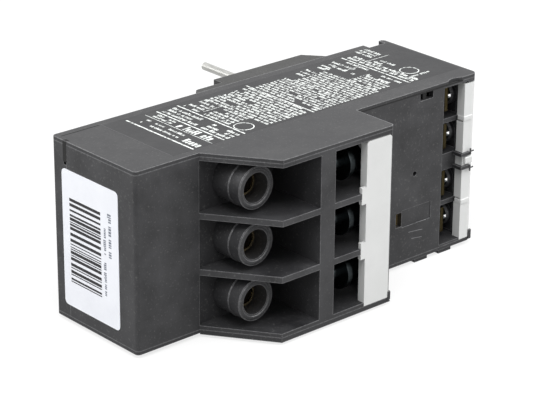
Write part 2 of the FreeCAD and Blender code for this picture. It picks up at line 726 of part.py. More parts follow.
def well_screws():
    screws = []
    for i, middle in enumerate(POLES, 1):
        head = rod("well_head_%d" % i, "Y", ("bay_back - well_head_length", "bay_back"),
                   ("well_x", middle), "well_bore - running_gap")
        shank = rod("well_shank_%d" % i, "Y",
                    ("bay_back", "bimetal_level + bimetal_thick + feed_bar_thick + well_tail"),
                    ("well_x", middle), "well_shank")
        slot = block("well_slot_%d" % i, around("well_x", "slot_width / 2"),
                     ("bay_back - well_head_length", "bay_back - well_head_length + slot_depth"),
                     around(middle, "well_bore"))
        screws.append(cut("well_screw_%d" % i, fuse("well_screw_body_%d" % i, [head, shank]), [slot]))
    group = doc.addObject("Part::Compound", "well_screw_group")
    group.Links = screws
    node("well_screws", group)


def cross_slots(name, x, y, middle, radius):
    """The two crossed slots in the front face of a screw head that faces the operator."""
    wide = block(name + "_across", x, around(y, radius), around(middle, "slot_width / 2"))
    tall = block(name + "_along", x, around(y, "slot_width / 2"), around(middle, radius))
    return [wide, tall]


def load_terminal(i, middle):
    back = "load_clamp_x + load_clamp_thick"
    disc = rod("load_clamp_disc_%d" % i, "X", ("load_clamp_x", back), ("-load_screw_y", middle),
               "load_clamp_radius")
    dish = rod("load_clamp_dish_%d" % i, "X", ("load_clamp_x", "load_clamp_x + clamp_dish"),
               ("-load_screw_y", middle), "load_clamp_radius - clamp_rim")
    hole = rod("load_clamp_hole_%d" % i, "X", ("load_clamp_x", back), ("-load_screw_y", middle),
               "shank_hole")
    node("load_clamp_%d" % i, cut("load_clamp_cut_%d" % i, disc, [dish, hole]))

    seat = back + " + fit_gap"
    shank = rod("load_screw_shank_%d" % i, "X", ("load_bar_x", seat),
                ("-load_screw_y", middle), "load_screw_shank")
    head = rod("load_screw_head_%d" % i, "X", (seat, seat + " + load_head_length"),
               ("-load_screw_y", middle), "load_screw_head")
    face = (seat + " + load_head_length - slot_depth", seat + " + load_head_length")
    slots = cross_slots("load_slot_%d" % i, face, "-load_screw_y", middle, "load_screw_head")
    node("load_screw_%d" % i, cut("load_screw_cut_%d" % i,
                                  fuse("load_screw_body_%d" % i, [shank, head]), slots))


def aux_terminal(i, middle):
    top = "leg_level + aux_bar_thick"
    front = "aux_bar_x + aux_bar_thick"
    bar = profile("aux_strip_%d" % i, "Z", [
        ("aux_bar_x", "aux_screw_y - aux_clamp_height / 2"),
        (front, "aux_screw_y - aux_clamp_height / 2"), (front, top), ("leg_start", top),
        ("leg_start", "leg_level"), ("aux_bar_x", "leg_level")], around(middle, "aux_bar_width / 2"))
    hole = rod("aux_bar_hole_%d" % i, "X", ("aux_bar_x", front), ("aux_screw_y", middle),
               "aux_screw_shank + fit_gap")
    node("aux_bar_%d" % i, cut("aux_bar_cut_%d" % i, bar, [hole]))

    back = "aux_clamp_x + aux_clamp_thick"
    plate = block("aux_clamp_plate_%d" % i, ("aux_clamp_x", back),
                  around("aux_screw_y", "aux_clamp_height / 2"),
                  around(middle, "aux_clamp_width / 2"))
    hole = rod("aux_clamp_hole_%d" % i, "X", ("aux_clamp_x", back), ("aux_screw_y", middle),
               "aux_screw_shank + fit_gap")
    node("aux_clamp_%d" % i, cut("aux_clamp_cut_%d" % i, plate, [hole]))

    seat = back + " + fit_gap"
    shank = rod("aux_screw_shank_%d" % i, "X", ("aux_bar_x", seat), ("aux_screw_y", middle),
                "aux_screw_shank")
    head = rod("aux_screw_head_%d" % i, "X", (seat, seat + " + aux_head_length"),
               ("aux_screw_y", middle), "aux_screw_head")
    face = (seat + " + aux_head_length - slot_depth", seat + " + aux_head_length")
    slots = cross_slots("aux_slot_cut_%d" % i, face, "aux_screw_y", middle, "aux_screw_head")
    node("aux_screw_%d" % i, cut("aux_screw_cut_%d" % i,
                                 fuse("aux_screw_body_%d" % i, [shank, head]), slots))


def calibration_screw():
    head = rod("calibration_head", "Y", ("front_low", "front_low + slot_height / 2"),
               ("slot_x", "slot_z"), "slot_height / 2 + running_gap")
    shank = rod("calibration_shank", "Y", ("front_low", "front_low + slot_height * 2"),
                ("slot_x", "slot_z"), "slot_length / 2")
    node("calibration_screw", fuse("calibration_body", [head, shank]))


# ---------------------------------------------------------------- trip gear

def trip_slide():
    low = "bimetal_level + bimetal_thick + running_gap"
    bar = block("slide_bar", ("slide_start", "slide_start + slide_width"),
                (low, low + " + slide_depth"), ("-inner_z + running_gap", "lid_z - running_gap"))
    pusher = block("slide_pusher", around("axle_x - lever_arm", "pusher_width / 2"),
                   (low + " + slide_depth", "carrier_top"), around("0", "lever_width / 2 - running_gap"))
    node("trip_slide", fuse("trip_slide_body", [bar, pusher]))


def trip_lever():
    reach = "lever_arm + pusher_width / 2"
    bar = block("lever_bar", ("axle_x - (%s)" % reach, "axle_x + " + reach),
                around("axle_y", "lever_thick / 2"), around("0", "lever_width / 2"))
    hub = rod("lever_hub", "Z", around("0", "lever_width / 2"), ("axle_x", "axle_y"), "hub_radius")
    hole = rod("lever_hole", "Z", around("0", "lever_width / 2"), ("axle_x", "axle_y"),
               "axle_radius + fit_gap")
    node("trip_lever", cut("trip_lever_cut", fuse("trip_lever_body", [bar, hub]), [hole]))
    node("lever_axle", rod("lever_axle_rod", "Z", ("-inner_z", "lid_z"), ("axle_x", "axle_y"),
                           "axle_radius"))


def contact_carrier():
    column = block("carrier_column", ("carrier_x", "carrier_x + carrier_width"),
                   ("carrier_low", "carrier_top"), ("-inner_z + running_gap", "lid_z - running_gap"))
    between = "(aux_outer + aux_inner) / 2"
    half = "(aux_outer - aux_inner - aux_bar_width) / 2 - running_gap"
    reach = ("carrier_x + carrier_width", "bridge_x + bridge_width")
    closed = ("leg_level - contact_gap - bridge_thick", "leg_level - contact_gap")
    open_low = "leg_level + aux_bar_thick + trip_travel + contact_gap * 2"
    opened = (open_low, open_low + " + bridge_thick")
    nc_arm = block("nc_arm", reach, (closed[0] + " - bridge_thick", closed[0]), around(between, half))
    no_arm = block("no_arm", reach, (opened[1], opened[1] + " + bridge_thick"),
                   around("-" + between, half))
    node("contact_carrier", fuse("contact_carrier_body", [column, nc_arm, no_arm]))
    x = ("bridge_x", "bridge_x + bridge_width")
    outer, inner = "aux_outer + aux_bar_width / 2", "aux_inner - aux_bar_width / 2"
    node("nc_bridge", block("nc_bridge_bar", x, closed, (inner, outer)))
    node("no_bridge", block("no_bridge_bar", x, opened, ("-(%s)" % outer, "-(%s)" % inner)))
    node("trip_flag", block("trip_flag_bar", ("carrier_x + carrier_width", "panel_back - running_gap"),
                            ("flag_low", "flag_low + flag_depth"), around("0", "flag_width / 2")))


# ---------------------------------------------------------------- operating front

def setting_dial():
    disc = rod("dial_disc", "X", ("control_back", "control_front"), ("controls_y", "dial_z"),
               "dial_radius")
    shaft = rod("dial_shaft_rod", "X", ("spring_back", "control_back"), ("controls_y", "dial_z"),
                "dial_shaft")
    cam = rod("dial_cam_disc", "X", ("aux_start", "aux_start + dial_cam_length"),
              ("controls_y + dial_cam_offset", "dial_z"), "dial_cam")
    slot = block("dial_slot", ("control_front - slot_depth / 2", "control_front"),
                 around("controls_y", "slot_width / 2"), around("dial_z", "dial_shaft + slot_depth"))
    node("setting_dial", cut("dial_cut", fuse("dial_body", [disc, shaft, cam]), [slot]))


def mode_selector():
    disc = rod("selector_disc", "X", ("control_back", "control_front"),
               ("controls_y", "selector_z"), "selector_radius")
    shaft = rod("selector_shaft_rod", "X", ("spring_back", "control_back"),
                ("controls_y", "selector_z"), "selector_shaft")
    slot = block("selector_slot", ("control_front - slot_depth / 2", "control_front"),
                 around("controls_y", "slot_width / 2"), around("selector_z", "selector_radius"))
    node("mode_selector", cut("selector_cut", fuse("selector_body", [disc, shaft]), [slot]))


def coil_spring(name, z, inner_radius, high):
    """Compression spring round a button's stem, from the seat rib to the button's flange."""
    coil = doc.addObject("Part::Helix", name + "_path")
    coil.Placement.Rotation = FreeCAD.Rotation(TURN["Z"], TURN["X"])
    length = "(%s) - spring_back - 2 * spring_wire - 2 * fit_gap" % high
    bind(coil, Radius=inner_radius + " + spring_wire", Height=length,
         Pitch="(%s) / spring_turns" % length)
    place(coil, "spring_back + spring_wire + fit_gap", "controls_y", z)
    wire = doc.addObject("Part::Circle", name + "_wire")
    wire.Placement.Rotation = FreeCAD.Rotation(TURN["Z"], TURN["Y"])
    bind(wire, Radius="spring_wire")
    doc.recompute()
    start = coil.Shape.Vertexes[0].Point
    wire.Placement.Base = start
    spring = doc.addObject("Part::Sweep", name + "_sweep")
    spring.Sections = [wire]
    spring.Spine = (coil, ["Edge%d" % n for n in range(1, len(coil.Shape.Edges) + 1)])
    spring.Solid = True
    spring.Frenet = True
    return node(name, spring)


def reset_button():
    high = "panel_back - button_gap"
    low = high + " - flange_thick"
    y = around("controls_y", "reset_height / 2")
    z = around("reset_z", "reset_width / 2")
    cap = block("reset_cap", (high, "control_front"), y, z)
    flange = block("reset_flange", (low, high),
                   (y[0] + " - flange_margin", y[1] + " + flange_margin"),
                   (z[0] + " - flange_margin", z[1] + " + flange_margin"))
    stem = rod("reset_stem_rod", "X", ("spring_back + reset_travel + running_gap", low),
               ("controls_y", "reset_z"), "reset_stem")
    node("reset_button", fuse("reset_button_body", [cap, flange, stem]))
    coil_spring("reset_spring", "reset_z", "reset_stem + running_gap", low)


def test_button():
    high = "panel_back - button_gap"
    low = high + " - flange_thick"
    cap = rod("test_cap", "X", (high, "control_front"), ("controls_y", "test_z"), "test_radius")
    flange = rod("test_flange", "X", (low, high), ("controls_y", "test_z"),
                 "test_radius + flange_margin")
    stem = rod("test_stem_rod", "X", ("spring_back + test_travel + running_gap", low),
               ("controls_y", "test_z"), "test_stem")
    node("test_button", fuse("test_button_body", [cap, flange, stem]))
    coil_spring("test_spring", "test_z", "test_stem + running_gap", low)


# ---------------------------------------------------------------- assembly

label_cover()
plain_cover()
housing()
base_cover()
pin_block()
front_panel()
load_marker_strip()
aux_marker_strip()
rear_sticker()
well_screws()
calibration_screw()
for number, pole in enumerate(POLES, 1):
    current_path(number, pole)
    load_terminal(number, pole)
for number, (aux, aux_half) in enumerate(AUXES, 1):
    aux_terminal(number, aux)
trip_slide()
trip_lever()
contact_carrier()
setting_dial()
mode_selector()
reset_button()
test_button()

doc.recompute()
for item in doc.Objects:
    if "Invalid" in item.State or "Error" in item.State:
        raise RuntimeError("%s failed: %s" % (item.Name, item.State))
for name, item in nodes.items():
    if item.Shape.isNull() or not item.Shape.isValid() or not item.Shape.Solids:
        raise RuntimeError("%s has no valid solid" % name)

os.makedirs("parts", exist_ok=True)
for name, item in nodes.items():
    item.Shape.exportStep("parts/%s.step" % name)
    print("%-20s %d solid %9.1f mm3" % (name, len(item.Shape.Solids), item.Shape.Volume))
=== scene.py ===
import math
import random

import bmesh
import bpy
from mathutils import Matrix, Vector


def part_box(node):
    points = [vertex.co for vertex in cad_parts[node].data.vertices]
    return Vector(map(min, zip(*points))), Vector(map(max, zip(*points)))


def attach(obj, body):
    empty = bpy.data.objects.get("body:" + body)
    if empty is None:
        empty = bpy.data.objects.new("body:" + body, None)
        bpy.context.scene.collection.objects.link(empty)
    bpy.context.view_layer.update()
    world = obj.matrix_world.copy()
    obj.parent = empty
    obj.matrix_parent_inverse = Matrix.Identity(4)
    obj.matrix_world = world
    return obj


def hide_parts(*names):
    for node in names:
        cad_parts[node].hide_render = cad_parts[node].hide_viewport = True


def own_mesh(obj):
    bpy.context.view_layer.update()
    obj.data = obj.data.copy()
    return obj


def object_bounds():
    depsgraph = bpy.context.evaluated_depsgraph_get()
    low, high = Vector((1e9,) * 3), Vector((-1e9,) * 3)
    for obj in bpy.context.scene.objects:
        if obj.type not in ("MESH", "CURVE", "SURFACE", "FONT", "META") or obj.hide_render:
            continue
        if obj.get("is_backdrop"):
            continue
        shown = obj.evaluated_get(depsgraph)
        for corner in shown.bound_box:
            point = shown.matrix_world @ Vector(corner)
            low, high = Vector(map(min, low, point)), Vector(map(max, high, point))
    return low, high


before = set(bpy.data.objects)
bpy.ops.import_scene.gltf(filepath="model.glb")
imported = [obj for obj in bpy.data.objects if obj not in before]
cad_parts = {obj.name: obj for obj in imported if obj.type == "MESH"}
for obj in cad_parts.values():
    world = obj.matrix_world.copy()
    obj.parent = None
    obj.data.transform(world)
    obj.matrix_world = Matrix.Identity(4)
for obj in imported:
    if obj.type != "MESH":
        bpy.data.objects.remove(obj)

cad_low, cad_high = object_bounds()

# ---------------------------------------------------------------- viewpoint
# The relay lies on its plain side. A long lens looks at it from the rear end, the cable side
# and above, so that the label side, the sticker and both rows of terminals show.
# Stations run as on the part's drawing: X from the rear face, Y from the cable side face of
# the rear block, Z from the middle pole, all in millimetres.

MM = 0.001
BAY_REACH = 15.9
CAMERA_STATION = (-283.4, -362.5, 206.9)
CAMERA_YAW, CAMERA_DROP, CAMERA_ROLL = 48.35, 22.55, 0.38
CAMERA_LENS = 151.6
CAMERA_SENSOR = 36
CAMERA_NEAR, CAMERA_FAR = 0.01, 20

case_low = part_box("housing")[0]


def at(x, y, z):
    """A point of the scene from its three stations."""
    return Vector((case_low.x + x * MM, case_low.y + (y + BAY_REACH) * MM, z * MM))


camera = bpy.data.objects.new("camera", bpy.data.cameras.new("camera"))
bpy.context.scene.collection.objects.link(camera)
camera.data.sensor_width = CAMERA_SENSOR
camera.data.lens = CAMERA_LENS
camera.data.clip_start = CAMERA_NEAR
camera.data.clip_end = CAMERA_FAR
camera.location = at(*CAMERA_STATION)
yaw, drop = math.radians(CAMERA_YAW), math.radians(CAMERA_DROP)
ahead = Vector((math.cos(yaw) * math.cos(drop), math.sin(yaw) * math.cos(drop), -math.sin(drop)))
roll = Matrix.Rotation(math.radians(CAMERA_ROLL), 3, "Z")
turn = ahead.to_track_quat("-Z", "Y").to_matrix() @ roll
camera.rotation_euler = turn.to_euler()
bpy.context.scene.camera = camera
bpy.context.scene.view_settings.view_transform = "Standard"

# ---------------------------------------------------------------- floor and light
# A white sheet on a table under three large softboxes in a white room. The sheet glows a
# little towards the camera, so that it ends in the white of the room and keeps a soft shadow.

FLOOR_COLOUR = "#F4F4F4"      # what the camera sees of the sheet
FLOOR_BOUNCE = "#A2A2A2"      # what the sheet throws back on the relay
FLOOR_HALF = 3000             # half the side of the sheet
FLOOR_GAP = 0.02              # between the relay and the sheet
FLOOR_GLOW = 0.75             # share of the sheet that shines towards the camera
GLOSSY_GLOW = 0.30            # the same towards reflections
ROOM_FILL = 0.55              # strength of the room's light


def linear(code):
    """Linear colour from an sRGB hex code."""
    shares = [int(code[i:i + 2], 16) / 255 for i in (1, 3, 5)]
    steps = [s / 12.92 if s <= 0.04045 else ((s + 0.055) / 1.055) ** 2.4 for s in shares]
    return (*steps, 1.0)


def new_tree(owner):
    """Empties the node tree of a material or world and hands it back."""
    owner.use_nodes = True
    owner.node_tree.nodes.clear()
    return owner.node_tree


def add(tree, kind, settings=None, links=None):
    """Adds a node, sets its properties and inputs by name or number, and links its inputs."""
    item = tree.nodes.new(kind)
    for name, setting in (settings or {}).items():
        if isinstance(name, int) or name in item.inputs:
            item.inputs[name].default_value = setting
        else:
            setattr(item, name, setting)
    for name, source in (links or {}).items():
        tree.links.new(source, item.inputs[name])
    return item


sheet_mesh = bpy.data.meshes.new("floor_sheet")
level = cad_low.z / MM - FLOOR_GAP
corners = [(-FLOOR_HALF, -FLOOR_HALF), (FLOOR_HALF, -FLOOR_HALF), (FLOOR_HALF, FLOOR_HALF),
           (-FLOOR_HALF, FLOOR_HALF)]
sheet_mesh.from_pydata([(x * MM, y * MM, level * MM) for x, y in corners], [], [(0, 1, 2, 3)])
floor_sheet = bpy.data.objects.new("floor_sheet", sheet_mesh)
bpy.context.scene.collection.objects.link(floor_sheet)
floor_sheet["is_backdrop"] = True

# Uncoated paper: evenly white and matt, with no gleam beside the relay.
white_paper = bpy.data.materials.new("matt_white_paper")
tree = new_tree(white_paper)
ray = add(tree, "ShaderNodeLightPath")
tint = add(tree, "ShaderNodeMixRGB", {"Color1": linear(FLOOR_BOUNCE),
                                      "Color2": linear(FLOOR_COLOUR)},
           {"Fac": ray.outputs["Is Camera Ray"]})
matt = add(tree, "ShaderNodeBsdfDiffuse", {}, {"Color": tint.outputs["Color"]})
glow = add(tree, "ShaderNodeEmission", {"Color": (1, 1, 1, 1), "Strength": 1.0})
dim = add(tree, "ShaderNodeMath", {"operation": "MULTIPLY", 1: GLOSSY_GLOW},
          {0: ray.outputs["Is Glossy Ray"]})
share = add(tree, "ShaderNodeMath", {"operation": "MULTIPLY_ADD", 1: FLOOR_GLOW},
            {0: ray.outputs["Is Camera Ray"], 2: dim.outputs["Value"]})
mix = add(tree, "ShaderNodeMixShader", {}, {0: share.outputs["Value"], 1: matt.outputs["BSDF"],
                                            2: glow.outputs["Emission"]})
add(tree, "ShaderNodeOutputMaterial", {}, {"Surface": mix.outputs["Shader"]})
sheet_mesh.materials.append(white_paper)

# The room is plain white to the camera and to gloss, and dimmer as a light.
room = bpy.data.worlds.new("white_room")
bpy.context.scene.world = room
tree = new_tree(room)
ray = add(tree, "ShaderNodeLightPath")
seen = add(tree, "ShaderNodeMath", {"operation": "MAXIMUM"},
           {0: ray.outputs["Is Camera Ray"], 1: ray.outputs["Is Glossy Ray"]})
clear = add(tree, "ShaderNodeMath", {"operation": "MAXIMUM"},
            {0: seen.outputs["Value"], 1: ray.outputs["Is Transmission Ray"]})
fill = add(tree, "ShaderNodeBackground", {"Color": (1, 1, 1, 1), "Strength": ROOM_FILL})
white = add(tree, "ShaderNodeBackground", {"Color": (1, 1, 1, 1), "Strength": 1.0})
mix = add(tree, "ShaderNodeMixShader", {}, {0: clear.outputs["Value"],
                                            1: fill.outputs["Background"],
                                            2: white.outputs["Background"]})
add(tree, "ShaderNodeOutputWorld", {}, {"Surface": mix.outputs["Shader"]})

middle = (cad_low + cad_high) / 2


def softbox(name, offset, width, power):
    """A square softbox at an offset in metres from the middle of the relay, facing it."""
    lamp = bpy.data.lights.new(name, "AREA")
    lamp.size = width
    lamp.energy = power
    item = bpy.data.objects.new(name, lamp)
    bpy.context.scene.collection.objects.link(item)
    item.location = middle + Vector(offset)
    item.rotation_euler = (-Vector(offset)).to_track_quat("-Z", "Y").to_euler()


softbox("softbox_overhead", (-0.25, -0.30, 0.75), width=0.45, power=4.5)
softbox("softbox_at_rear_end", (-0.72, 0.30, 0.50), width=0.80, power=6.2)
softbox("softbox_at_cable_side", (0.62, -0.50, 0.50), width=0.80, power=7.0)

# ---------------------------------------------------------------- housing
# One moulding of glass-filled black polyamide: rear block, terminal bay with its fins and
# screw wells, and front block. The tool is spark eroded, so the skin has a fine dry grain
# that scatters light, and its outside edges are broken by a small radius.

EDGE_RADIUS = 0.28
EDGE_ANGLE = 40         # degrees; sharper turns than this count as edges
GRAIN = 0.5             # of the eroded skin; the real 0.05 mm is too fine to show
CLOUD = 9.0             # patches where the melt flowed together
CLOUD_SPAN = (0.32, 0.70)
GLOSS_SPREAD = 0.11     # how far the patches move the roughness either way
DEPTH = 13.0            # how far a wall casts painted shade on the faces beside it
OPEN_FACE, DEEP_HOLLOW = 0.80, 0.45     # how much of the room a spot sees
# painted shade: the colour that faces deep in hollows are darkened towards
PAINTED_SHADE_COLOUR = "#222224"
HOLLOW_DULLER = 0.20
SPECK = 0.55            # dust caught in the grain, drawn larger than it is
DUST_COLOUR = "#6E6E6C"
DUST_SPAN = (0.62, 0.76)
DUST_SHARE = 0.30
WEAR_AND_HIGHLIGHT_REACH = 0.19              # how far the wear and the painted highlight reach in from an edge
WEAR_AND_HIGHLIGHT_SPAN = (0.97, 0.80)
RUB_SMOOTHER = 0.24
PATCH_SPAN = (0.30, 0.62)
PATCH_LEAST = 0.35      # share of the wear and painted highlight left between the patches
UPWARD_HIGHLIGHT_SPAN = (-0.3, 0.6)
UNDERSIDE_HIGHLIGHT_SHARE = 0.15  # undersides get little of the painted highlight, which comes from above
SHADE_SAMPLES = 6
PLASTIC_IOR = 1.53


def moulded(name, deep, pale, roughness, grain_depth=0.02, edge_wear_and_highlight=None):
    """Moulded plastic: grain as bump, faint patches in colour and gloss. Where an edge colour is
    given, hollows get painted shade and are duller, open faces carry specks of dust, and outside
    edges are lighter and smoother from wear and from a painted highlight, mostly on upward faces."""
    plastic = bpy.data.materials.new(name)
    tree = new_tree(plastic)
    place = add(tree, "ShaderNodeTexCoord").outputs["Object"]
    grain = add(tree, "ShaderNodeTexNoise", {"Scale": 1 / (GRAIN * MM), "Detail": 2.0},
                {"Vector": place})
    cloud = add(tree, "ShaderNodeTexNoise", {"Scale": 1 / (CLOUD * MM), "Detail": 5.0,
                                             "Roughness": 0.65}, {"Vector": place})
    colour = add(tree, "ShaderNodeValToRGB", {}, {"Fac": cloud.outputs["Fac"]})
    colour.color_ramp.elements[0].position = CLOUD_SPAN[0]
    colour.color_ramp.elements[0].color = linear(deep)
    colour.color_ramp.elements[1].position = CLOUD_SPAN[1]
    colour.color_ramp.elements[1].color = linear(pale)
    gloss = add(tree, "ShaderNodeMapRange", {"From Min": 0.3, "From Max": 0.7,
                                             "To Min": roughness - GLOSS_SPREAD,
                                             "To Max": roughness + GLOSS_SPREAD},
                {"Value": cloud.outputs["Fac"]})
    tone, dullness = colour.outputs["Color"], gloss.outputs["Result"]
    if edge_wear_and_highlight:
        # Painted shade: where a spot sees little of the room, its colour is darkened towards the
        # shade colour, and it is made duller.
        hollow = add(tree, "ShaderNodeAmbientOcclusion", {"samples": SHADE_SAMPLES,
                                                          "Distance": DEPTH * MM})
        painted_shade_mask = add(tree, "ShaderNodeMapRange", {"From Min": OPEN_FACE,
                                                 "From Max": DEEP_HOLLOW},
                    {"Value": hollow.outputs["AO"]})
        darker = add(tree, "ShaderNodeMixRGB", {"Color2": linear(PAINTED_SHADE_COLOUR)},
                     {"Fac": painted_shade_mask.outputs["Result"], "Color1": tone})
        duller = add(tree, "ShaderNodeMath", {"operation": "MULTIPLY_ADD", 1: HOLLOW_DULLER},
                     {0: painted_shade_mask.outputs["Result"], 2: dullness})
        speck = add(tree, "ShaderNodeTexNoise", {"Scale": 1 / (SPECK * MM), "Detail": 1.0},
                    {"Vector": place})
        dust = add(tree, "ShaderNodeMapRange", {"From Min": DUST_SPAN[0],
                                                "From Max": DUST_SPAN[1],
                                                "To Max": DUST_SHARE},
                   {"Value": speck.outputs["Fac"]})
        dusty = add(tree, "ShaderNodeMixRGB", {"Color2": linear(DUST_COLOUR)},
                    {"Fac": dust.outputs["Result"], "Color1": darker.outputs["Color"]})
        tone, dullness = dusty.outputs["Color"], duller.outputs["Value"]
        # Outside edges are drawn lighter, partly as real wear and partly as a painted highlight,
        # which is kept mostly to faces turned up towards the lamps.
        edge = add(tree, "ShaderNodeAmbientOcclusion", {"inside": True, "only_local": True,
                                                        "samples": SHADE_SAMPLES,
                                                        "Distance": WEAR_AND_HIGHLIGHT_REACH * MM})
        wear_and_highlight_edge = add(tree, "ShaderNodeMapRange", {"From Min": WEAR_AND_HIGHLIGHT_SPAN[0],
                                                "From Max": WEAR_AND_HIGHLIGHT_SPAN[1]},
                   {"Value": edge.outputs["AO"]})
        patchy = add(tree, "ShaderNodeMapRange", {"From Min": PATCH_SPAN[0],
                                                  "From Max": PATCH_SPAN[1],
                                                  "To Min": PATCH_LEAST, "To Max": 1.0},
                     {"Value": grain.outputs["Fac"]})
        facing = add(tree, "ShaderNodeSeparateXYZ", {},
                     {"Vector": add(tree, "ShaderNodeNewGeometry").outputs["Normal"]})
        painted_light_from_above = add(tree, "ShaderNodeMapRange", {"From Min": UPWARD_HIGHLIGHT_SPAN[0],
                                                   "From Max": UPWARD_HIGHLIGHT_SPAN[1],
                                                   "To Min": UNDERSIDE_HIGHLIGHT_SHARE, "To Max": 1.0},
                      {"Value": facing.outputs["Z"]})
        patchy_wear_and_highlight = add(tree, "ShaderNodeMath", {"operation": "MULTIPLY"},
                   {0: wear_and_highlight_edge.outputs["Result"], 1: patchy.outputs["Result"]})
        share = add(tree, "ShaderNodeMath", {"operation": "MULTIPLY"},
                    {0: patchy_wear_and_highlight.outputs["Value"], 1: painted_light_from_above.outputs["Result"]})
        wear_and_highlight_tone = add(tree, "ShaderNodeMixRGB", {"Color2": linear(edge_wear_and_highlight)},
                    {"Fac": share.outputs["Value"], "Color1": tone})
        smoother = add(tree, "ShaderNodeMath", {"operation": "MULTIPLY_ADD", 1: -RUB_SMOOTHER},
                       {0: share.outputs["Value"], 2: dullness})
        tone, dullness = wear_and_highlight_tone.outputs["Color"], smoother.outputs["Value"]
    skin = add(tree, "ShaderNodeBump", {"Strength": 0.6, "Distance": grain_depth * MM},
               {"Height": grain.outputs["Fac"]})
    shader = add(tree, "ShaderNodeBsdfPrincipled", {"IOR": PLASTIC_IOR},
                 {"Base Color": tone, "Roughness": dullness, "Normal": skin.outputs["Normal"]})
    add(tree, "ShaderNodeOutputMaterial", {}, {"Surface": shader.outputs["BSDF"]})
    return plastic


def finish_node(name, material, edge=0.0):
    """Gives a carried-over node its finish and, where asked, broken edges of that radius."""
    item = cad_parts[name]
    for slot in item.material_slots:
        slot.material = material
    if edge:
        rounding = item.modifiers.new("broken_edges", "BEVEL")
        rounding.width = edge * MM
        rounding.segments = 2
        rounding.limit_method = "ANGLE"
        rounding.angle_limit = math.radians(EDGE_ANGLE)
        rounding.use_clamp_overlap = False
        rounding.harden_normals = True


def piece(name, mesh, material, body="root"):
    """Turns a mesh under construction into a piece that rides on a body."""
    data = bpy.data.meshes.new(name)
    mesh.to_mesh(data)
    mesh.free()
    data.materials.append(material)
    item = bpy.data.objects.new(name, data)
    bpy.context.scene.collection.objects.link(item)
    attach(item, body)
    return item


# Glass fibres under the skin make the black a dull dark grey; hollows get painted shade, and
# edges go light from wear and a painted highlight.
black_polyamide = moulded("black_glass_filled_polyamide", "#1B1B1D", "#373739",
                          roughness=0.45, edge_wear_and_highlight="#838385")
finish_node("housing", black_polyamide, EDGE_RADIUS)
finish_node("base_cover", black_polyamide, EDGE_RADIUS)
finish_node("front_panel", black_polyamide, EDGE_RADIUS)

# ---------------------------------------------------------------- covers
# Two flat plates of the same polyamide close the housing from both sides. They are snapped
# on, so a fine seam runs round under each of them. The plain one has a thicker sole under
# the terminal bay and two feet.

COVER_EDGE = 0.42
LABEL_PLATE = 0.9      # thickness of the label cover above its seam
SEAM_HALF, SEAM_INSET, SEAM_WIDTH, SEAM_STEP = 0.17, 0.12, 0.4, 0.02

# A thin plate cools evenly, so the same black shows fewer patches than the housing.
# It gets the same painted shade in hollows, and edges lighter from wear and a painted highlight.
cover_polyamide = moulded("black_polyamide_cover", "#1F1F21", "#2E2E30",
                          roughness=0.45, edge_wear_and_highlight="#868688")
finish_node("label_cover", cover_polyamide, COVER_EDGE)
finish_node("plain_cover", cover_polyamide, COVER_EDGE)

# Painted shade: no light comes back out of a gap, so a dark line is drawn there, darker than any
# plastic.
painted_shade_black = moulded("unlit_seam_gap", "#060606", "#0A0A0A", roughness=0.8, grain_depth=0.002)


def seam(name, cover, level):
    """Painted shade for the gap at a cover: a dark flat frame just inside the cover's outline at a
    height.
    """
    mesh = bmesh.new()
    mesh.from_mesh(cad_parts[cover].data)
    bmesh.ops.bisect_plane(mesh, geom=mesh.verts[:] + mesh.edges[:] + mesh.faces[:],
                           plane_co=(0, 0, level * MM), plane_no=(0, 0, 1),
                           clear_inner=True, clear_outer=True)
    outline = bmesh.ops.contextual_create(mesh, geom=mesh.edges[:])["faces"]
    bmesh.ops.inset_region(mesh, faces=outline, thickness=SEAM_INSET * MM,
                           use_boundary=True)
    outside = [face for face in mesh.faces if face not in outline]
    bmesh.ops.delete(mesh, geom=outside, context="FACES")
    bmesh.ops.inset_region(mesh, faces=outline, thickness=SEAM_WIDTH * MM,
                           use_boundary=True)
    bmesh.ops.delete(mesh, geom=outline, context="FACES")
    bmesh.ops.translate(mesh, verts=mesh.verts[:], vec=(0, 0, -SEAM_HALF * MM))
    raised = bmesh.ops.extrude_face_region(mesh, geom=mesh.faces[:])["geom"]
    corners = [item for item in raised if isinstance(item, bmesh.types.BMVert)]
    bmesh.ops.translate(mesh, verts=corners, vec=(0, 0, 2 * SEAM_HALF * MM))
    bmesh.ops.recalc_face_normals(mesh, faces=mesh.faces[:])
    return piece(name, mesh, painted_shade_black)


label_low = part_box("label_cover")[1].z / MM - LABEL_PLATE
plain_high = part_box("plain_cover")[1].z / MM
seam("seam_under_label_cover", "label_cover", label_low + SEAM_STEP)
seam("seam_over_plain_cover", "plain_cover", plain_high - SEAM_STEP)

# ---------------------------------------------------------------- print on the label cover
# White pad print: ruled lines across the label side and rows of plain ticks and dashes
# between them. The ink lies as a thin film and is worn through in places.

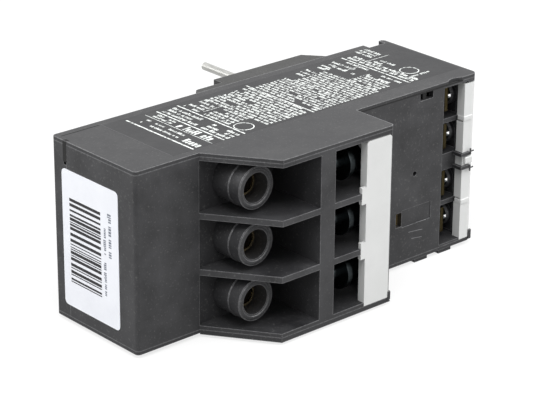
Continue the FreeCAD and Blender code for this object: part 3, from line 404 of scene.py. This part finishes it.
PRINT_LOW, PRINT_HIGH = 2.5, 27.0
INK_LIFT = 0.02             # thickness of the film
INK_SPECK = 0.6             # of the worn spots, drawn coarser than they are
INK_WORN = "#7C7E7E"        # ink with the ground showing through
INK_EDGE = 0.12             # how softly a worn spot ends
RING_LINE = 0.28
THIN_LINE = 0.16
TICK_WIDTHS = (0.20, 0.42)  # this and the next three are shares of a tick's height
TICK_HEIGHTS = (0.72, 0.72, 1.0)
TICK_GAP = 0.16
GROUP_GAPS = (0.3, 0.6)
GROUP_SIZES = (2, 7)
RULES = ((18.9, 0.45), (24.5, 0.16), (28.0, 0.40), (34.3, 0.40), (56.0, 0.35), (87.9, 0.40))
ROWS = (
    # first station, last station, pitch, height of a tick, span along Y, share drawn
    (20.1, 20.2, 2.0, 2.3, (3.0, 9.2), 1.0),
    (20.6, 22.5, 1.9, 0.9, (10.5, 24.5), 0.8),
    (25.0, 25.1, 2.0, 2.3, (4.5, 16.5), 1.0),
    (25.2, 27.2, 1.2, 0.9, (18.5, 25.5), 0.8),
    (28.9, 33.6, 1.6, 1.15, (2.6, 12.5), 0.9),
    (28.9, 33.6, 1.6, 1.05, (14.0, 26.5), 0.85),
    (35.2, 41.5, 1.4, 1.0, (9.5, 18.5), 0.9),
    (35.2, 41.5, 1.55, 1.0, (20.6, 26.0), 0.5),
    (42.0, 55.0, 1.3, 0.95, (3.5, 26.0), 0.95),
    (56.9, 67.0, 1.2, 0.85, (3.0, 25.0), 0.97),
    (67.4, 77.5, 1.2, 0.85, (3.0, 22.5), 0.97),
    (77.8, 83.2, 1.25, 0.85, (4.0, 14.0), 0.9),
    (71.0, 84.5, 1.8, 1.0, (23.0, 26.5), 0.8),
    (79.0, 86.8, 2.4, 1.1, (16.0, 24.0), 0.7),
    (83.5, 87.0, 2.2, 1.1, (4.0, 14.0), 0.6),
    (88.9, 90.4, 1.5, 1.2, (3.0, 26.5), 0.95),
    (93.6, 98.0, 1.5, 1.1, (22.5, 28.8), 1.0),
    (91.8, 93.6, 1.8, 1.0, (12.5, 20.0), 0.8),
)
SHORT_RULES = ((36.3, 43.4, 19.7), (81.0, 86.4, 19.4), (89.3, 98.6, 20.9))
RINGS = ((37.2, 6.2, 2.5), (94.2, 9.2, 2.5))


def ink(name, code, roughness, worn_share):
    """Printing ink with small gaps, where a darker ground shows through."""
    film = bpy.data.materials.new(name)
    tree = new_tree(film)
    place = add(tree, "ShaderNodeTexCoord").outputs["Object"]
    speck = add(tree, "ShaderNodeTexNoise", {"Scale": 1 / (INK_SPECK * MM), "Detail": 3.0},
                {"Vector": place})
    wear = add(tree, "ShaderNodeValToRGB", {}, {"Fac": speck.outputs["Fac"]})
    wear.color_ramp.elements[0].position = worn_share
    wear.color_ramp.elements[0].color = linear(INK_WORN)
    wear.color_ramp.elements[1].position = worn_share + INK_EDGE
    wear.color_ramp.elements[1].color = linear(code)
    shader = add(tree, "ShaderNodeBsdfPrincipled", {"Roughness": roughness, "IOR": 1.5},
                 {"Base Color": wear.outputs["Color"]})
    add(tree, "ShaderNodeOutputMaterial", {}, {"Surface": shader.outputs["BSDF"]})
    return film


def patch(mesh, corner, along, across):
    """Adds one patch of film; it faces the way of along x across."""
    down = -along.cross(across).normalized() * INK_LIFT * MM
    top = [corner, corner + along, corner + along + across, corner + across]
    upper = [mesh.verts.new(spot) for spot in top]
    lower = [mesh.verts.new(spot + down) for spot in top]
    mesh.faces.new(upper)
    mesh.faces.new(lower[::-1])
    for i in range(4):
        mesh.faces.new((upper[i - 1], lower[i - 1], lower[i], upper[i]))


def turned_ring(mesh, centre, axis, inner, outer, depth, slope=0.1):
    """Adds a closed ring lathed about an axis through a centre."""
    profile = [(inner, 0), (inner + slope, depth), (outer - slope, depth), (outer, depth * 0.4),
               (outer, 0)]
    start = Vector((0, 1, 0)) if abs(axis.y) < 0.5 else Vector((0, 0, 1))
    spots = [mesh.verts.new(centre + start * radius * MM + axis * rise * MM)
             for radius, rise in profile]
    edges = [mesh.edges.new((spots[i - 1], spots[i])) for i in range(len(spots))]
    bmesh.ops.spin(mesh, geom=spots + edges, cent=centre, axis=axis, angle=math.tau, steps=40)
    bmesh.ops.remove_doubles(mesh, verts=mesh.verts[:], dist=0.001 * MM)
    bmesh.ops.recalc_face_normals(mesh, faces=mesh.faces[:])


def ticks(mesh, start, along, across, length, height, filled, dice):
    """A row of ticks in groups. The row runs along across and its ticks stand along along."""
    spot = 0.0
    while spot < length:
        group = dice.randint(*GROUP_SIZES)
        drawn = dice.random() < filled
        for _ in range(group):
            width = height * dice.uniform(*TICK_WIDTHS)
            if spot + width > length:
                return
            if drawn:
                tall = height * dice.choice(TICK_HEIGHTS)
                patch(mesh, start + across * spot * MM, along * tall * MM, across * width * MM)
            spot += width + height * TICK_GAP
        spot += height * dice.uniform(*GROUP_GAPS)


# The part of the face that carries the print is moulded duller than the rest, so the white
# stands out on an even black.
label_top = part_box("label_cover")[1].z / MM + INK_LIFT
along_x, along_y, along_z = Vector((1, 0, 0)), Vector((0, 1, 0)), Vector((0, 0, 1))
dull_polyamide = moulded("dull_polyamide_print_ground", "#1F1F21", "#29292B", roughness=0.52)
GROUND_LOW, GROUND_X, GROUND_Y = (12.5, 2.3), 92.8, 25.9
GROUND_SINK = 0.01          # keeps the ground under the ink
ground = bmesh.new()
patch(ground, at(*GROUND_LOW, label_top - GROUND_SINK), along_x * GROUND_X * MM,
      along_y * GROUND_Y * MM)
piece("print_ground", ground, dull_polyamide)

# Pad printing ink: matt and white, grey where it has worn to the ground.
white_ink = ink("white_pad_print_ink", "#E9EDEA", roughness=0.6, worn_share=0.37)
print_mesh = bmesh.new()
for station, width in RULES:
    patch(print_mesh, at(station - width / 2, PRINT_LOW, label_top), along_x * width * MM,
          along_y * (PRINT_HIGH - PRINT_LOW) * MM)
for first, last, station in SHORT_RULES:
    patch(print_mesh, at(first, station, label_top), along_x * (last - first) * MM,
          along_y * THIN_LINE * MM)
for x, y, radius in RINGS:
    turned_ring(print_mesh, at(x, y, label_top - INK_LIFT), along_z, radius - RING_LINE,
                radius, INK_LIFT, 0.01)
dice = random.Random(7)
ticks(print_mesh, at(89.4, 5.9, label_top), -along_y, along_x, 8.0, 0.9, 0.9, dice)
for first, last, pitch, height, (low, high), filled in ROWS:
    station = first
    while station <= last:
        ticks(print_mesh, at(station, low, label_top), along_x, along_y, high - low, height,
              filled, dice)
        station += pitch
piece("label_print", print_mesh, white_ink)

# Marks of the mould on the same face: the step of an insert across it, and painted shade for a
# narrow channel beside the contactor side and for the slot in the rear face, where it runs out over
# the cover's edge.

# The edge of an insert leaves a line that is smoother than the grain, so it catches light; its
# lighter colour is a painted highlight.
step_gloss_and_highlight = moulded("polyamide_insert_step", "#38383A", "#424244", roughness=0.36)
insert_mesh = bmesh.new()
patch(insert_mesh, at(12.5, 2.4, label_top), along_x * 0.22 * MM, along_y * 26.7 * MM)
piece("insert_step", insert_mesh, step_gloss_and_highlight)
# Painted shade: flat dark patches stand for the shaded channel and for the end of the slot.
channel = bmesh.new()
patch(channel, at(1.2, 28.5, label_top), along_x * 11 * MM, along_y * 0.3 * MM)
patch(channel, at(0.05, 25.2, label_top), along_x * 0.9 * MM, along_y * 1.2 * MM)
patch(channel, at(-0.02, 26.5, 17.4), along_z * 5.0 * MM, -along_y * 1.3 * MM)
piece("channel_and_slot_end", channel, painted_shade_black)

# ---------------------------------------------------------------- rear sticker
# A glossy paper label on the rear face, with a plain pattern of bars and two rows of ticks
# from a thermal printer. It is stuck on by hand, so its corners are round.

STICKER_BARS_Y = (12.8, 24.4)
STICKER_BARS_Z = (-12.2, 8.9)
BAR_WIDTHS = (0.25, 0.25, 0.5, 0.75)
BAR_GAPS = (0.25, 0.3, 0.5, 0.75)
STICKER_ROWS = (
    # station of the row, height of a tick, lowest level, highest level
    (10.9, 0.9, -11.5, -3.0),
    (10.9, 0.9, -1.0, 5.5),
    (8.9, 1.3, -1.5, 9.5),
)

# Coated paper: a cool, even white with a half gloss.
sticker_paper = moulded("coated_label_paper", "#E0E2E8", "#E7E9EE",
                        roughness=0.42, grain_depth=0.004)
finish_node("rear_sticker", sticker_paper)
# Thermal print: near black, with the paper's grain breaking it up a little.
black_ink = ink("black_thermal_print", "#1B1B1D", roughness=0.55, worn_share=0.10)
paper_face = (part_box("rear_sticker")[0].x - case_low.x) / MM - INK_LIFT
bar_mesh = bmesh.new()
dice = random.Random(3)
level = STICKER_BARS_Z[0]
while level < STICKER_BARS_Z[1]:
    width = dice.choice(BAR_WIDTHS)
    patch(bar_mesh, at(paper_face, STICKER_BARS_Y[0], level), along_z * width * MM,
          along_y * (STICKER_BARS_Y[1] - STICKER_BARS_Y[0]) * MM)
    level += width + dice.choice(BAR_GAPS)
piece("sticker_bars", bar_mesh, black_ink)
# The small rows were printed too cool, so they are grey.
pale_ink = ink("faded_thermal_print", "#6C717C", roughness=0.55, worn_share=0.10)
row_mesh = bmesh.new()
for station, height, low, high in STICKER_ROWS:
    ticks(row_mesh, at(paper_face, station, high), along_y, -along_z, high - low, height, 1.0,
          dice)
piece("sticker_rows", row_mesh, pale_ink)

# ---------------------------------------------------------------- pin block and contact pins
# A separate dark moulding on the contactor side carries three round pins of tinned copper.
# The tin is bright and soft, with fine drawing marks along the pin.

MARK_DIM = 0.7              # brightness of the low places between the marks


def bare_metal(name, code, roughness, mark, depth, stretch=(1, 1, 1)):
    """Metal with fine marks of its making, drawn out along the axis where stretch is small."""
    item = bpy.data.materials.new(name)
    tree = new_tree(item)
    place = add(tree, "ShaderNodeTexCoord").outputs["Object"]
    drawn = add(tree, "ShaderNodeMapping", {"Scale": stretch}, {"Vector": place})
    marks = add(tree, "ShaderNodeTexNoise", {"Scale": 1 / (mark * MM), "Detail": 3.0},
                {"Vector": drawn.outputs["Vector"]})
    shade = add(tree, "ShaderNodeValToRGB", {}, {"Fac": marks.outputs["Fac"]})
    full = linear(code)
    shade.color_ramp.elements[0].position = 0.25
    shade.color_ramp.elements[0].color = (*[c * MARK_DIM for c in full[:3]], 1)
    shade.color_ramp.elements[1].position = 0.65
    shade.color_ramp.elements[1].color = full
    skin = add(tree, "ShaderNodeBump", {"Strength": 0.5, "Distance": depth * MM},
               {"Height": marks.outputs["Fac"]})
    shader = add(tree, "ShaderNodeBsdfPrincipled", {"Metallic": 1.0, "Roughness": roughness},
                 {"Base Color": shade.outputs["Color"], "Normal": skin.outputs["Normal"]})
    add(tree, "ShaderNodeOutputMaterial", {}, {"Surface": shader.outputs["BSDF"]})
    return item


# The block's compound is drier than the housing's and a shade paler.
# It gets the same painted shade in hollows, and edges lighter from wear and a painted highlight.
block_polyamide = moulded("black_polyamide_pin_block", "#2A2A2A", "#333332",
                          roughness=0.48, edge_wear_and_highlight="#606060")
finish_node("pin_block", block_polyamide, EDGE_RADIUS)
# Tin plate: a pale, bright and slightly milky gleam, streaked along the pin.
tinned_copper = bare_metal("tin_plated_copper", "#D6D6D2",
                           roughness=0.22, mark=0.3, depth=0.004, stretch=(1, 0.1, 1))
for number in (1, 2, 3):
    finish_node("contact_pin_%d" % number, tinned_copper)
    finish_node("feed_bar_%d" % number, tinned_copper)
    finish_node("load_bar_%d" % number, tinned_copper)

# ---------------------------------------------------------------- terminals
# Saddle clamps and screws of zinc plated, passivated steel, drawn dark, hold the cables of the
# load side; stamped brass ones with such screws hold the wires of the auxiliary side. A brass
# screw sits at the bottom of each well.

POLES = (-14, 0, 14)
AUX_LEVELS = (-16.3, -6.3, 6.3, 16.3)
WELL_X = 28.2
toward_cable, toward_rear = Vector((0, -1, 0)), Vector((-1, 0, 0))

# Passivated zinc, drawn dark with a blue-green cast and a soft gleam.
dark_steel = bare_metal("passivated_steel_drawn_dark", "#4A5052",
                        roughness=0.30, mark=0.4, depth=0.006)
# Stamped brass, drawn a dark olive brown, with a dull gleam.
brass = bare_metal("stamped_brass", "#5A5036", roughness=0.34, mark=0.4, depth=0.006)
for number in (1, 2, 3):
    finish_node("load_clamp_%d" % number, dark_steel, edge=0.12)
    finish_node("load_screw_%d" % number, dark_steel, edge=0.12)
for number in (1, 2, 3, 4):
    finish_node("aux_bar_%d" % number, brass, edge=0.08)
    finish_node("aux_clamp_%d" % number, brass, edge=0.08)
    finish_node("aux_screw_%d" % number, dark_steel, edge=0.10)
# Flux has left the turned brass brown and uneven.
well_brass = bare_metal("turned_brass_with_flux", "#A08660",
                        roughness=0.30, mark=0.3, depth=0.008)
finish_node("well_screws", well_brass, edge=0.12)
# This brass is drawn bright yellow as painted light, since it sits deep in its slot where little
# light reaches.
brass_painted_bright = bare_metal("brass_painted_bright", "#E2C788", roughness=0.36, mark=0.4, depth=0.006)
finish_node("calibration_screw", brass_painted_bright, edge=0.08)

# The heads of the well screws carry a bright rim. A fine step runs round the tube of each
# well and a low lip ends it. Collars on the back of the operating front guide the driver to
# the heads of the auxiliary screws.

# Polished by the driver: pale and glossy beside the brown head.
bright_rim = bare_metal("polished_brass_rim", "#E3CFA4", roughness=0.16, mark=0.5, depth=0.004)
rim_mesh = bmesh.new()
for pole in POLES:
    turned_ring(rim_mesh, at(WELL_X, -4.2, pole), toward_cable,
                inner=2.3, outer=3.0, depth=0.35)
piece("well_screw_rims", rim_mesh, bright_rim)
step_mesh = bmesh.new()
for pole in POLES:
    turned_ring(step_mesh, at(WELL_X, -4.6, pole), toward_cable,
                inner=5.0, outer=5.36, depth=0.35)
    turned_ring(step_mesh, at(WELL_X, -8.2, pole), toward_cable,
                inner=3.9, outer=4.95, depth=0.28, slope=0.3)
piece("well_steps", step_mesh, black_polyamide)
collar_mesh = bmesh.new()
for level in AUX_LEVELS:
    turned_ring(collar_mesh, at(103.02, 4.2, level), toward_rear,
                inner=2.8, outer=3.05, depth=1.9)
piece("driver_collars", collar_mesh, black_polyamide)

# ---------------------------------------------------------------- marker strips
# Two snap-on strips of white polyamide in front of the terminals, smooth from a polished
# tool, for the user's own marks. They are left bare.

# Unfilled polyamide from a polished tool: neutral white, even, with a broad soft gleam.
white_polyamide = moulded("white_polyamide_marker", "#D2D3D2", "#D8D9D8",
                          roughness=0.40, grain_depth=0.006)
finish_node("load_marker_strip", white_polyamide, edge=0.25)
finish_node("aux_marker_strip", white_polyamide, edge=0.25)


def rounded_block(mesh, low, high, radius):
    """Adds a block between two stations with all its edges rounded."""
    low, high = at(*low), at(*high)
    made = bmesh.ops.create_cube(mesh, size=1.0)["verts"]
    for vertex in made:
        for axis in range(3):
            vertex.co[axis] = low[axis] if vertex.co[axis] < 0 else high[axis]
    edges = {edge for vertex in made for edge in vertex.link_edges}
    bmesh.ops.bevel(mesh, geom=list(edges), offset=radius * MM, segments=3, profile=0.6,
                    affect="EDGES", clamp_overlap=True)


# Black lips of the plain cover hold the foot of each strip, and small barbs end the two
# prongs that clip over the middle of the narrow one. The strip has a locating pip between
# them and a raised band on either side.

PRONG, BAND = 2.2, 11.2     # levels of the prongs and of the bands
lip_mesh = bmesh.new()
rounded_block(lip_mesh, (63.7, -16.15, -22.2), (64.55, -15.6, -19.9), radius=0.2)
rounded_block(lip_mesh, (105.0, -3.15, -22.2), (106.0, -2.6, -19.6), radius=0.2)
piece("strip_lips", lip_mesh, cover_polyamide)
barb_mesh = bmesh.new()
for side in (-1, 1):
    prong = side * PRONG
    rounded_block(barb_mesh, (103.9, -3.7, prong - 0.85), (104.25, -3.3, prong + 0.85), radius=0.12)
    rounded_block(barb_mesh, (104.0, -3.6, prong - 0.2), (105.3, -3.35, prong + 0.2), radius=0.1)
piece("clip_barbs", barb_mesh, black_polyamide)
pip_mesh = bmesh.new()
rounded_block(pip_mesh, (102.2, -3.6, -0.95), (104.9, -2.8, 0.95), radius=0.38)
for side in (-1, 1):
    band = side * BAND
    rounded_block(pip_mesh, (101.7, -3.1, band - 0.6), (104.7, -0.8, band + 0.6), radius=0.18)
piece("strip_pip_and_bands", pip_mesh, white_polyamide)

# ---------------------------------------------------------------- trip gear
# Bimetal strips, heaters, slide, lever and contact carrier inside the housing: rolled
# bimetal, resistance wire on sleeves, and natural coloured acetal mouldings.

# Rolled from two sheets: a warm grey with streaks along the strip.
bimetal = bare_metal("rolled_bimetal", "#9A948A",
                     roughness=0.38, mark=0.4, depth=0.005, stretch=(0.1, 1, 1))
# The heat has browned the wire and taken its gleam.
heater_wire = bare_metal("oxidised_resistance_wire", "#6E665C",
                         roughness=0.5, mark=0.3, depth=0.01)
# Acetal without dye: milky and slightly yellow.
acetal = moulded("natural_acetal", "#CFCBBB", "#DAD6C8", roughness=0.42, grain_depth=0.006)
# Drawn wire: bright grey, with its gleam in fine lines.
spring_steel = bare_metal("drawn_spring_steel", "#A6A6A4",
                          roughness=0.28, mark=0.2, depth=0.003)
# A strong orange, so that a trip shows at a glance.
flag_orange = moulded("orange_flag_polyamide", "#CF6A18", "#DB7A28",
                      roughness=0.45, grain_depth=0.006)
for number in (1, 2, 3):
    finish_node("bimetal_strip_%d" % number, bimetal)
    finish_node("heater_%d" % number, heater_wire)
finish_node("trip_slide", acetal, edge=0.12)
finish_node("trip_lever", bimetal, edge=0.08)
finish_node("lever_axle", dark_steel)
finish_node("contact_carrier", acetal, edge=0.12)
finish_node("nc_bridge", brass, edge=0.06)
finish_node("no_bridge", brass, edge=0.06)
finish_node("trip_flag", flag_orange, edge=0.08)


def pressed_spring(name):
    """Puts a copy of the plain spring, in drawn spring steel, in its place."""
    coil = bpy.data.objects.new("coil_of_" + name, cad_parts[name].data.copy())
    bpy.context.scene.collection.objects.link(coil)
    coil.data.materials.clear()
    coil.data.materials.append(spring_steel)
    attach(coil, "root")
    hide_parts(name)
    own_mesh(coil)


pressed_spring("reset_spring")
pressed_spring("test_spring")

# ---------------------------------------------------------------- operating front
# Light grey dial and selector of acetal, a blue reset button and a red test pin, all behind
# the rim of the front. The dial carries a plain scale with numbers.

# Dyed acetal: opaque, even and faintly waxy.
grey_acetal = moulded("light_grey_acetal", "#C4C5C2", "#CECFCC",
                      roughness=0.40, grain_depth=0.006)
blue_acetal = moulded("blue_acetal", "#25468A", "#2C4F96", roughness=0.38, grain_depth=0.006)
red_acetal = moulded("red_acetal", "#9A211D", "#A62822", roughness=0.38, grain_depth=0.006)
finish_node("setting_dial", grey_acetal, edge=0.15)
finish_node("mode_selector", grey_acetal, edge=0.12)
finish_node("reset_button", blue_acetal, edge=0.25)
finish_node("test_button", red_acetal, edge=0.15)

# Printed round the dial: plain ticks over its travel, and the numbers 1 to 4 beside them.

PANEL_FACE = 104.63
DIAL_Y, DIAL_Z = 21.4, 8.6
SCALE_START, SCALE_STEP, SCALE_TICKS = -130, 10, 27     # degrees, degrees, count
SCALE_RADIUS, SCALE_LINE = 5.6, 0.14
LONG_TICK, SHORT_TICK = 0.5, 0.3
FIGURE_RADIUS, FIGURE_HEIGHT = 7.3, 2.0
FIGURE_START, FIGURE_STEP = -100, 40
scale_mesh = bmesh.new()
for step in range(SCALE_TICKS):
    lean = math.radians(SCALE_START + SCALE_STEP * step)
    outward = Vector((0, -math.cos(lean), math.sin(lean)))
    sideways = Vector((0, math.sin(lean), math.cos(lean)))
    reach = LONG_TICK if step % 3 == 2 else SHORT_TICK
    start = at(PANEL_FACE, DIAL_Y, DIAL_Z) + outward * SCALE_RADIUS * MM
    start -= sideways * SCALE_LINE / 2 * MM
    patch(scale_mesh, start, outward * reach * MM, sideways * SCALE_LINE * MM)
piece("dial_scale", scale_mesh, white_ink)
for number in (1, 2, 3, 4):
    lean = math.radians(FIGURE_START + FIGURE_STEP * number)
    words = bpy.data.curves.new("scale_number_%d" % number, "FONT")
    words.body = str(number)
    words.size = FIGURE_HEIGHT * MM
    words.align_x = words.align_y = "CENTER"
    words.materials.append(white_ink)
    figure = bpy.data.objects.new("scale_number_%d" % number, words)
    bpy.context.scene.collection.objects.link(figure)
    place = at(PANEL_FACE, DIAL_Y - FIGURE_RADIUS * math.cos(lean),
               DIAL_Z - FIGURE_RADIUS * math.sin(lean))
    upright = Matrix(((0, 0, 1), (0, 1, 0), (-1, 0, 0))).to_4x4()
    figure.matrix_world = Matrix.Translation(place) @ upright
    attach(figure, "root")

# Scratches on the cable side face beside the calibration slot, where a driver has slipped,
# and the shaded face of the snap tongue in its window under the label cover.

FRONT_SIDE = -2.92
SCRATCH_WIDTH = 0.14
SCRATCHES = (
    # ends of each scratch, as stations X and Z
    ((83.4, -14.4), (88.4, -14.9)),
    ((84.6, -16.4), (88.2, -16.9)),
    ((86.0, -12.4), (89.4, -12.6)),
)

# A driver tears the skin, and the torn plastic scatters pale grey.
scratched = moulded("scratched_polyamide", "#6C6C6E", "#8A8A8C", roughness=0.38)
scratch_mesh = bmesh.new()
for first, second in SCRATCHES:
    start = at(first[0], FRONT_SIDE, first[1])
    patch(scratch_mesh, start, at(second[0], FRONT_SIDE, second[1]) - start,
          along_z * SCRATCH_WIDTH * MM)
piece("driver_scratches", scratch_mesh, scratched)
shade_mesh = bmesh.new()
rounded_block(shade_mesh, (87.7, -2.12, 18.75), (89.0, -1.9, 21.55), radius=0.05)
piece("tongue_shade", shade_mesh, painted_shade_black)

low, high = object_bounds()
